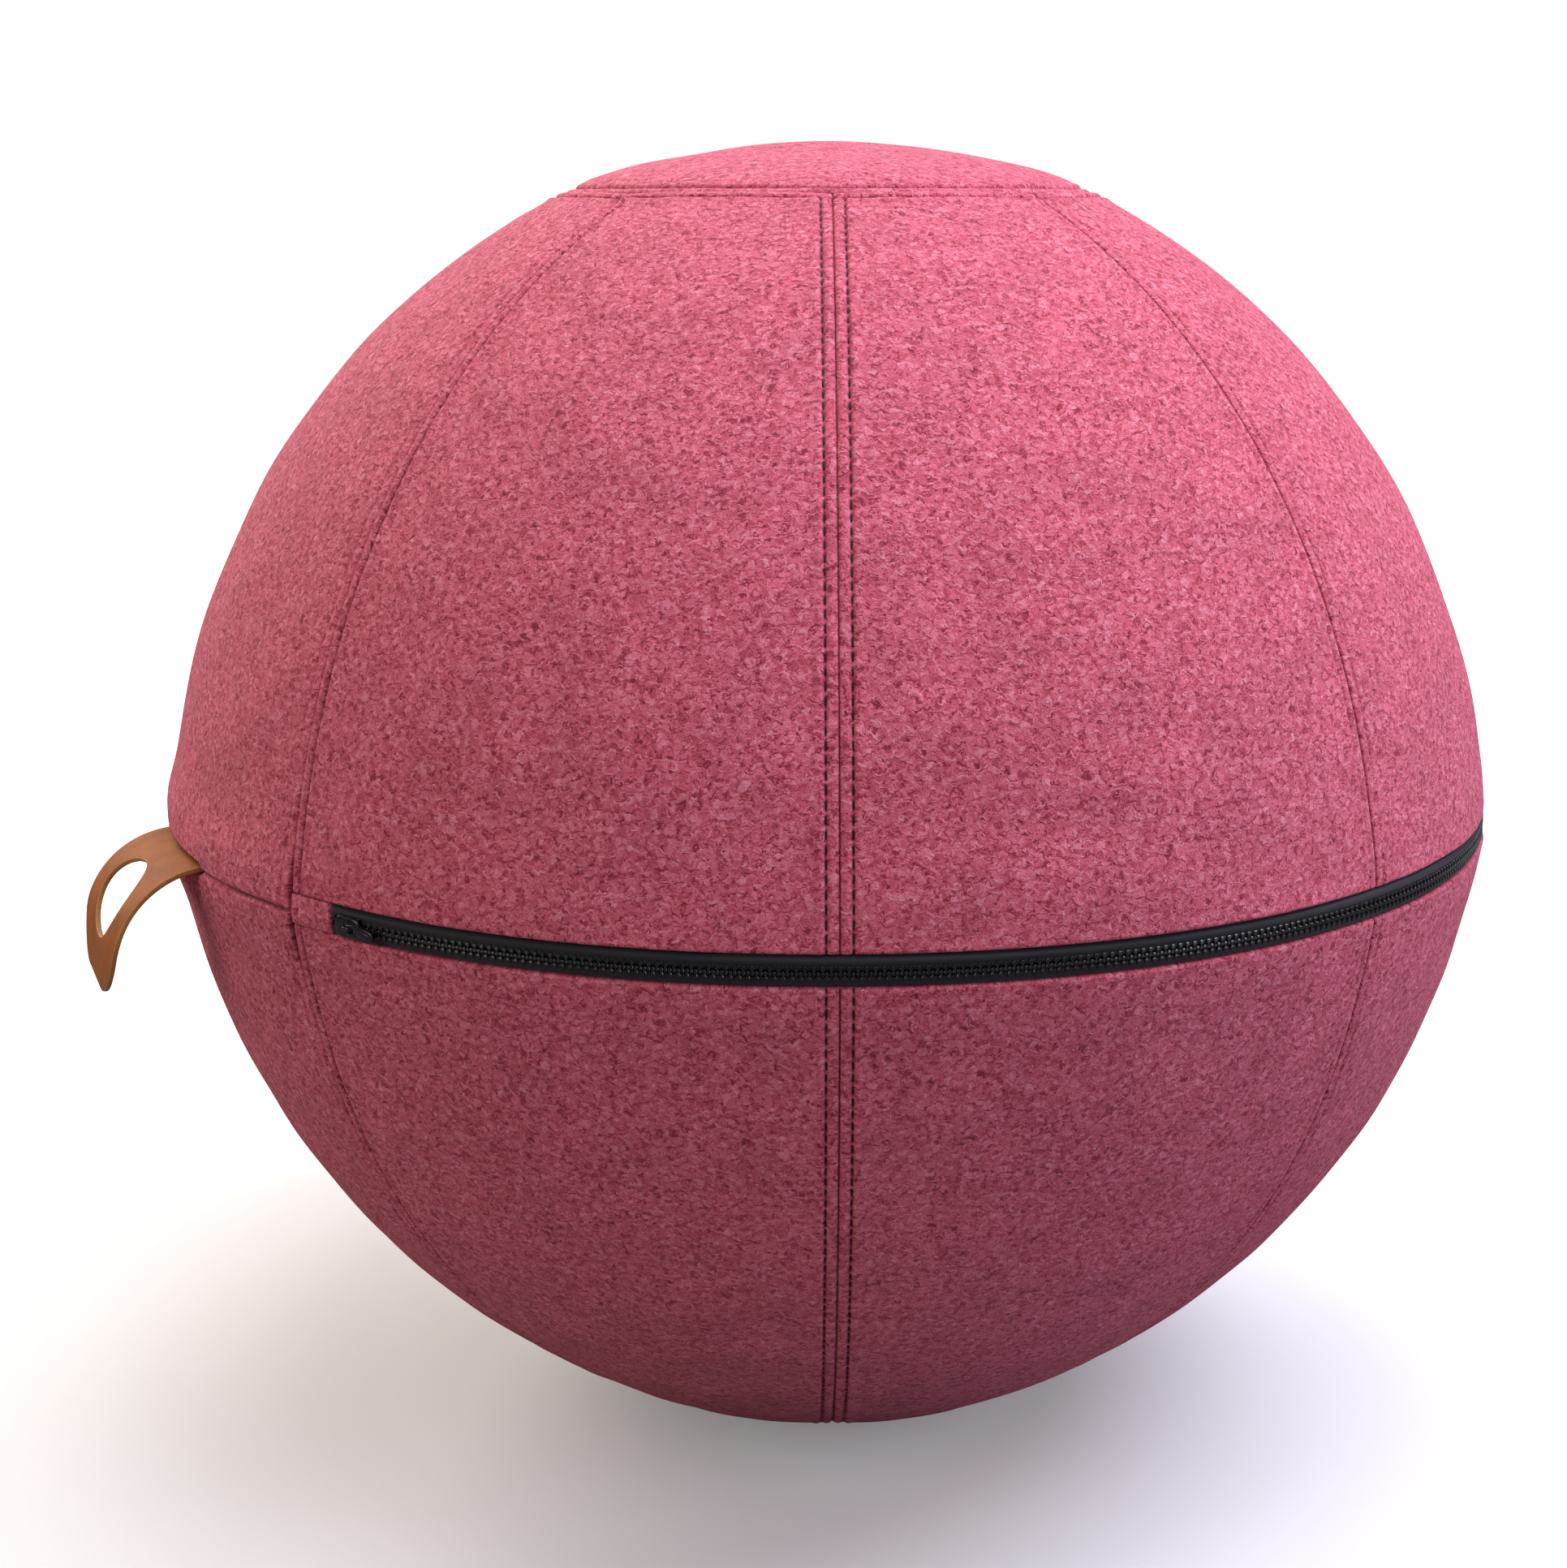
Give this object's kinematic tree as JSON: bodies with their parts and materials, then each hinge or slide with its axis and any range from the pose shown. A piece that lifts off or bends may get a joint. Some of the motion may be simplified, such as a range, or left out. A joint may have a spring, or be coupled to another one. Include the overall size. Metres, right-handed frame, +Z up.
{
  "type": "felt-covered sitting ball",
  "caption": "Inflatable exercise and sitting ball in a sewn felt cover of gores and two round caps, with an equator zip and a leather grab tab.",
  "frame": {"origin": "centre of the floor contact patch under the bottom cap", "axes": "+Z up through both caps, -Y towards the front seam, +X to the right seen from the front; the zip runs from front left over the right side to the back, the handle is on the left"},
  "size_m": [0.6475, 0.6194, 0.599],
  "materials": {
    "felt": "raspberry melange wool felt, matt and slightly fuzzy",
    "thread": "dark burgundy sewing thread",
    "zip_tape": "black woven polyester tape",
    "zip_teeth": "black moulded acetal",
    "zip_metal": "black enamelled zinc",
    "leather": "tan vegetable-tanned leather with pale cut edges",
    "bladder": "satin grey PVC",
    "valve": "white moulded plastic"
  },
  "bodies": {
    "ball": {"bottom_cap": "felt", "bottom_cap_thread": "thread", "handle_root": "leather", "inner_bladder": "bladder", "lower_gore_1": "felt", "lower_gore_2": "felt", "lower_gore_3": "felt", "lower_gore_4": "felt", "lower_gore_5": "felt", "lower_gore_6": "felt", "lower_gore_7": "felt", "lower_gore_8": "felt", "lower_seam_thread": "thread", "top_cap": "felt", "top_cap_thread": "thread", "upper_gore_1": "felt", "upper_gore_2": "felt", "upper_gore_3": "felt", "upper_gore_4": "felt", "upper_gore_5": "felt", "upper_gore_6": "felt", "upper_gore_7": "felt", "upper_gore_8": "felt", "upper_seam_thread": "thread", "valve_plug": "valve", "valve_seat": "valve", "zip_end_stops": "zip_teeth", "zip_facing_left": "felt", "zip_facing_right": "felt", "zip_retainer": "zip_teeth", "zip_tape_lower": "zip_tape", "zip_tape_upper": "zip_tape", "zip_teeth_lower": "zip_teeth", "zip_teeth_upper": "zip_teeth"},
    "slider": {"zip_slider": "zip_metal"},
    "puller": {"zip_puller": "zip_metal"},
    "handle": {"handle_tab": "leather"}
  },
  "joints": [
    {"name": "zip_slide", "type": "hinge", "parent": "ball", "child": "slider", "pos_m": [0, 0, 0.295], "axis": [0, 0, 1], "range_deg": [0, 165.5], "deforming": ["zip_teeth_upper", "zip_teeth_lower"]},
    {"name": "puller_swing", "type": "hinge", "parent": "slider", "child": "puller", "pos_m": [-0.19194, -0.24629, 0.295], "axis": [0, 0, -1], "range_deg": [0, 175]},
    {"name": "handle_flex", "type": "hinge", "parent": "ball", "child": "handle", "pos_m": [-0.28936, -0.11986, 0.29425], "axis": [-0.3827, 0.9239, 0], "range_deg": [-44, 100], "stiffness_Nm_per_rad": 0.12}
  ]
}
